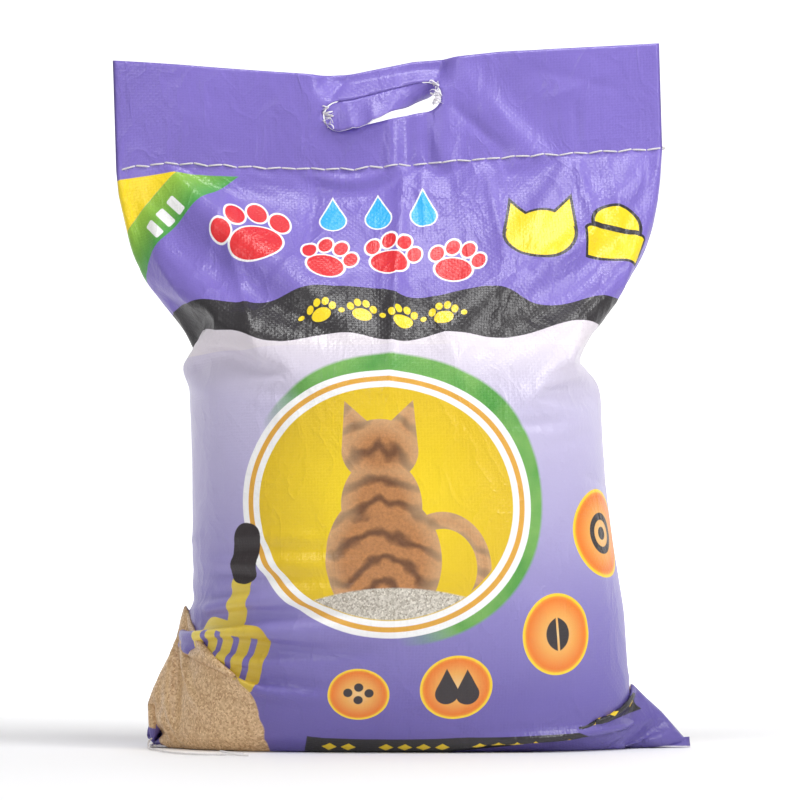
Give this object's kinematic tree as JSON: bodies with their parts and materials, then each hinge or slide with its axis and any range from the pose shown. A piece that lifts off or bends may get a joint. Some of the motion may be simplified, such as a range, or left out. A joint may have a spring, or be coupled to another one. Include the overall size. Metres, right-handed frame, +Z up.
{
  "type": "cat litter bag",
  "caption": "Filled and sewn woven-plastic litter bag that stands on its base, with a flat stitched header and a slanted hand hole for carrying.",
  "frame": {"origin": "on the floor, under the middle of the standing bag's box", "axes": "+Z up, the printed front faces -Y, +X to the right as the front is read"},
  "size_m": [0.4243, 0.2269, 0.518],
  "materials": {
    "printed_film": "glossy printed film laminated on woven polypropylene tape, violet with a black band and a yellow disc",
    "white_thread": "matt white spun polyester sewing thread"
  },
  "bodies": {
    "root": {"sack": "printed_film", "top_seam_thread": "white_thread", "bottom_seam_thread": "white_thread", "thread_tail": "white_thread"}
  },
  "joints": []
}
